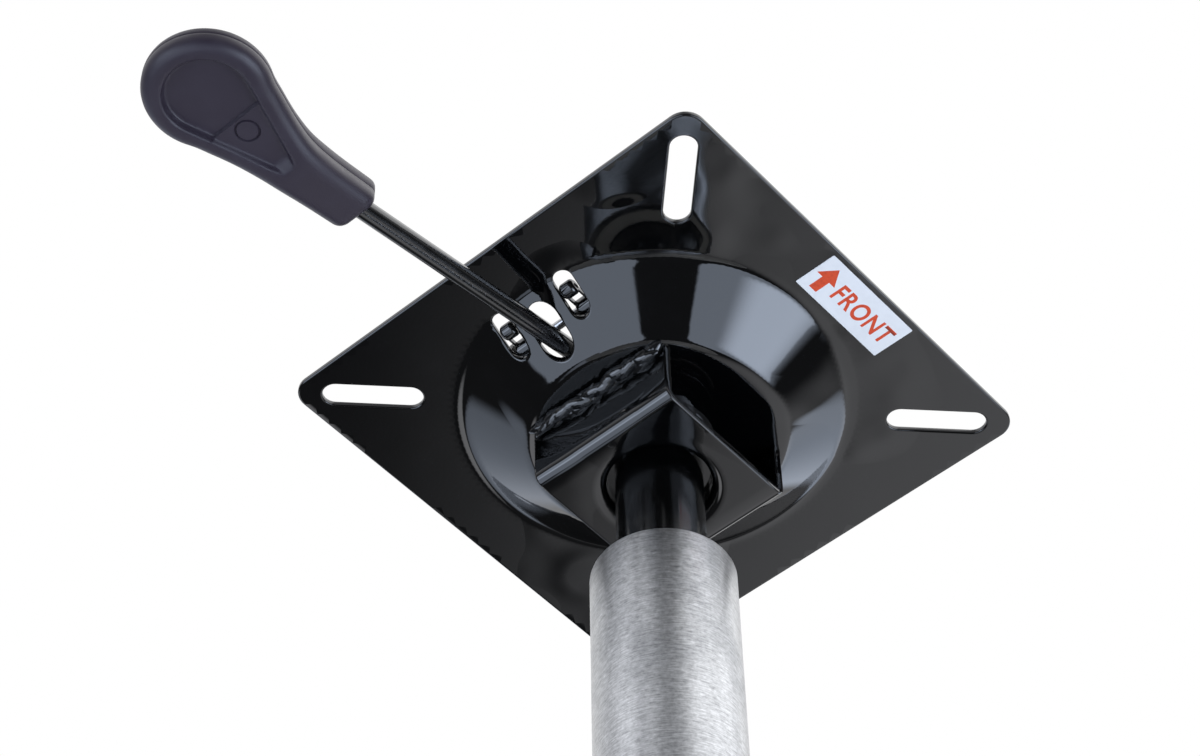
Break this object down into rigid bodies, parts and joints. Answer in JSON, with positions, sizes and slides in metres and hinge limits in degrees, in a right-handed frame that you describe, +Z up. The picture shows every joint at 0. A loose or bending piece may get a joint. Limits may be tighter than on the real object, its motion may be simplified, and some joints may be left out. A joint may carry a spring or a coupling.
{
  "type": "boat seat pedestal",
  "caption": "Gas lift boat seat pedestal with a round floor base, a brushed aluminium post, a swivelling black seat plate and a side release lever.",
  "frame": {"origin": "on the floor under the middle of the post, at the centre of the circle of floor screws", "axes": "+Z up along the post, -Y towards the front edge of the seat plate, -X towards the release lever"},
  "size_m": [0.3313, 0.2286, 0.3419],
  "materials": {
    "black_paint": "gloss",
    "tube_black": "satin",
    "post_metal": "brushed",
    "base_metal": "satin",
    "steel": "satin",
    "rod_chrome": "polished",
    "white_acetal": "satin",
    "seal_rubber": "matte",
    "valve_brass": "satin",
    "handle_plastic": "matte",
    "label_film": "satin"
  },
  "bodies": {
    "floor_column": {"base_flange": "base_metal", "foot_weld": "base_metal", "post_tube": "post_metal", "guide_bush": "white_acetal", "column_foot": "steel", "lower_race": "steel"},
    "ball_ring": {"ball_cage": "valve_brass", "bearing_balls": "steel"},
    "spindle": {"piston_rod": "rod_chrome", "upper_race": "steel", "rod_clip": "steel", "bump_stop": "seal_rubber", "piston": "valve_brass", "piston_ring": "seal_rubber", "piston_nut": "steel"},
    "seat_head": {"gas_cylinder": "tube_black", "pressure_tube": "steel", "rod_guide": "steel", "rod_seal": "seal_rubber", "valve_body": "valve_brass", "valve_seal": "seal_rubber", "taper_socket": "black_paint", "socket_weld": "black_paint", "channel_bracket": "black_paint", "bracket_welds": "black_paint", "seat_plate": "black_paint", "pivot_pin": "steel", "front_label": "label_film"},
    "lever": {"rocker_plate": "black_paint", "lever_rod": "black_paint", "lever_weld": "black_paint", "lever_handle": "handle_plastic"},
    "release_valve": {"release_pin": "steel"}
  },
  "joints": [
    {"name": "swivel", "type": "hinge", "parent": "floor_column", "child": "spindle", "pos_m": [0, 0, 0.02], "axis": [0, 0, 1], "continuous": true},
    {"name": "ball_roll", "type": "hinge", "parent": "floor_column", "child": "ball_ring", "pos_m": [0, 0, 0.02], "axis": [0, 0, 1], "continuous": true},
    {"name": "lift", "type": "slide", "parent": "spindle", "child": "seat_head", "axis": [0, 0, 1], "range_m": [0, 0.1]},
    {"name": "lever_lift", "type": "hinge", "parent": "seat_head", "child": "lever", "pos_m": [-0.0482, 0, 0.33792], "axis": [0, 1, 0], "range_deg": [0, 4]},
    {"name": "valve_press", "type": "slide", "parent": "seat_head", "child": "release_valve", "axis": [0, 0, -1], "range_m": [0, 0.0036]}
  ],
  "couplings": [
    {"joint": "ball_roll", "follows": "swivel", "ratio": 0.5},
    {"joint": "valve_press", "follows": "lever_lift", "m_per_rad": 0.0482}
  ]
}
